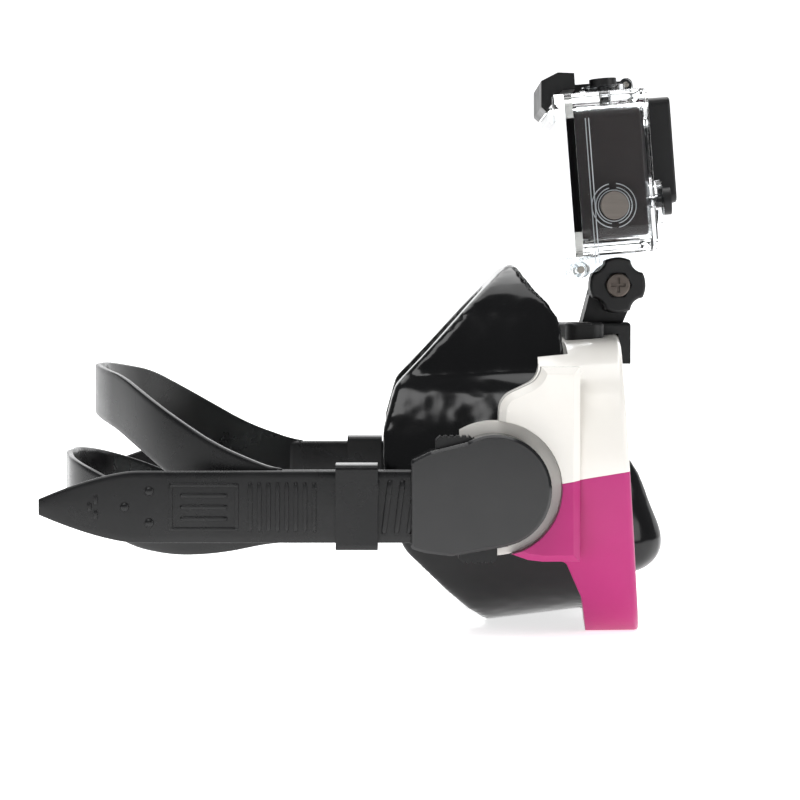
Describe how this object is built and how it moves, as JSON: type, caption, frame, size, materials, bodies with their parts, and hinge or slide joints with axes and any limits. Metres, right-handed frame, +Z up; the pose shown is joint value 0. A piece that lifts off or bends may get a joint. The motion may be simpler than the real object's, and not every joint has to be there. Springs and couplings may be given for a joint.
{
  "type": "dive mask with action camera",
  "caption": "Half-face dive mask with nose pocket, silicone skirt, quick-release strap buckles and an action camera in a clear waterproof housing on its brow",
  "frame": {"origin": "below the middle of the whole object, on the surface that the mask stands on", "axes": "+X forward out of the lenses, +Y to the wearer's left, +Z up; the mask is symmetric about the XZ plane, the camera is not"},
  "size_m": [0.1919, 0.176, 0.1683],
  "materials": {
    "frame_white": "gloss",
    "frame_magenta": "satin",
    "lens": "clear",
    "silicone": "gloss",
    "buckle_plastic": "gloss",
    "black_plastic": "satin",
    "strap_rubber": "satin",
    "steel": "brushed",
    "clear_plastic": "clear",
    "gasket": "matte",
    "camera": "satin",
    "screen": "gloss"
  },
  "bodies": {
    "mask": {"frame_upper": "frame_white", "frame_lower_right": "frame_magenta", "frame_lower_left": "frame_magenta", "bezel_right": "black_plastic", "bezel_left": "black_plastic", "lens_right": "lens", "lens_left": "lens", "skirt": "silicone", "buckle_pivot_right": "steel", "buckle_pivot_left": "steel", "mount_base": "black_plastic", "mount_arm": "black_plastic", "mount_screw_right": "steel", "mount_screw_left": "steel", "captive_nut": "steel"},
    "strap_unit": {"strap": "strap_rubber", "buckle_base_right": "buckle_plastic", "buckle_base_left": "buckle_plastic", "buckle_cover_right": "buckle_plastic", "buckle_cover_left": "buckle_plastic", "release_spring_upper_right": "steel", "release_spring_upper_left": "steel", "release_spring_lower_right": "steel", "release_spring_lower_left": "steel"},
    "knob": {"thumb_knob": "black_plastic", "thumb_screw": "steel"},
    "housing": {"housing_body": "clear_plastic", "door_gasket": "gasket", "door_hinge_pin": "steel", "latch_pin": "steel", "lens_port_ring": "black_plastic", "lens_port_glass": "lens", "lens_port_screws": "steel", "camera_body": "camera", "camera_lens": "black_plastic", "camera_screen": "screen"},
    "door": {"housing_door": "clear_plastic"},
    "latch": {"latch": "black_plastic"},
    "shutter_button": {"shutter_button": "black_plastic"},
    "mode_button": {"mode_button": "black_plastic"},
    "side_button": {"side_button": "black_plastic"},
    "keeper_right": {"strap_keeper_right": "strap_rubber"},
    "roller_right": {"strap_roller_right": "steel"},
    "release_upper_right": {"release_button_upper_right": "black_plastic"},
    "release_lower_right": {"release_button_lower_right": "black_plastic"},
    "keeper_left": {"strap_keeper_left": "strap_rubber"},
    "roller_left": {"strap_roller_left": "steel"},
    "release_upper_left": {"release_button_upper_left": "black_plastic"},
    "release_lower_left": {"release_button_lower_left": "black_plastic"}
  },
  "joints": [
    {"name": "strap_swing", "type": "hinge", "parent": "mask", "child": "strap_unit", "pos_m": [0.0364, 0, 0.0439], "axis": [0, 1, 0], "range_deg": [-7, 30]},
    {"name": "camera_tilt", "type": "hinge", "parent": "mask", "child": "housing", "pos_m": [0.077, 0, 0.103], "axis": [0, 1, 0], "range_deg": [-8, 80]},
    {"name": "knob_spin", "type": "hinge", "parent": "mask", "child": "knob", "pos_m": [0.077, -0.012, 0.103], "axis": [0, 1, 0], "continuous": true},
    {"name": "door_swing", "type": "hinge", "parent": "housing", "child": "door", "pos_m": [0.06461, 0, 0.10754], "axis": [0, -1, 0], "range_deg": [0, 40]},
    {"name": "latch_swing", "type": "hinge", "parent": "housing", "child": "latch", "pos_m": [0.08008, 0.011, 0.16584], "axis": [0, 1, 0], "range_deg": [0, 100]},
    {"name": "shutter_press", "type": "slide", "parent": "housing", "child": "shutter_button", "axis": [0.0785, 0, -0.9969], "range_m": [0, 0.001], "stiffness_N_per_m": 400},
    {"name": "mode_press", "type": "slide", "parent": "housing", "child": "mode_button", "axis": [-0.9969, 0, -0.0785], "range_m": [0, 0.001], "stiffness_N_per_m": 400},
    {"name": "side_press", "type": "slide", "parent": "housing", "child": "side_button", "axis": [0, 1, 0], "range_m": [0, 0.001], "stiffness_N_per_m": 400},
    {"name": "keeper_slide_right", "type": "slide", "parent": "strap_unit", "child": "keeper_right", "axis": [1, 0, 0], "range_m": [-0.012, 0.006]},
    {"name": "roller_spin_right", "type": "hinge", "parent": "strap_unit", "child": "roller_right", "pos_m": [0.0146, -0.0816, 0.0392], "axis": [0, 0, 1], "continuous": true},
    {"name": "release_upper_right_press", "type": "slide", "parent": "strap_unit", "child": "release_upper_right", "axis": [0, 0, -1], "range_m": [0, 0.0012], "stiffness_N_per_m": 600, "deforming": ["release_spring_upper_right"]},
    {"name": "release_lower_right_press", "type": "slide", "parent": "strap_unit", "child": "release_lower_right", "axis": [0, 0, 1], "range_m": [0, 0.0012], "stiffness_N_per_m": 600, "deforming": ["release_spring_lower_right"]},
    {"name": "keeper_slide_left", "type": "slide", "parent": "strap_unit", "child": "keeper_left", "axis": [1, 0, 0], "range_m": [-0.012, 0.006]},
    {"name": "roller_spin_left", "type": "hinge", "parent": "strap_unit", "child": "roller_left", "pos_m": [0.0146, 0.0816, 0.0392], "axis": [0, 0, 1], "continuous": true},
    {"name": "release_upper_left_press", "type": "slide", "parent": "strap_unit", "child": "release_upper_left", "axis": [0, 0, -1], "range_m": [0, 0.0012], "stiffness_N_per_m": 600, "deforming": ["release_spring_upper_left"]},
    {"name": "release_lower_left_press", "type": "slide", "parent": "strap_unit", "child": "release_lower_left", "axis": [0, 0, 1], "range_m": [0, 0.0012], "stiffness_N_per_m": 600, "deforming": ["release_spring_lower_left"]}
  ],
  "couplings": [
    {"joint": "latch_swing", "follows": "door_swing", "ratio": 2.5}
  ]
}
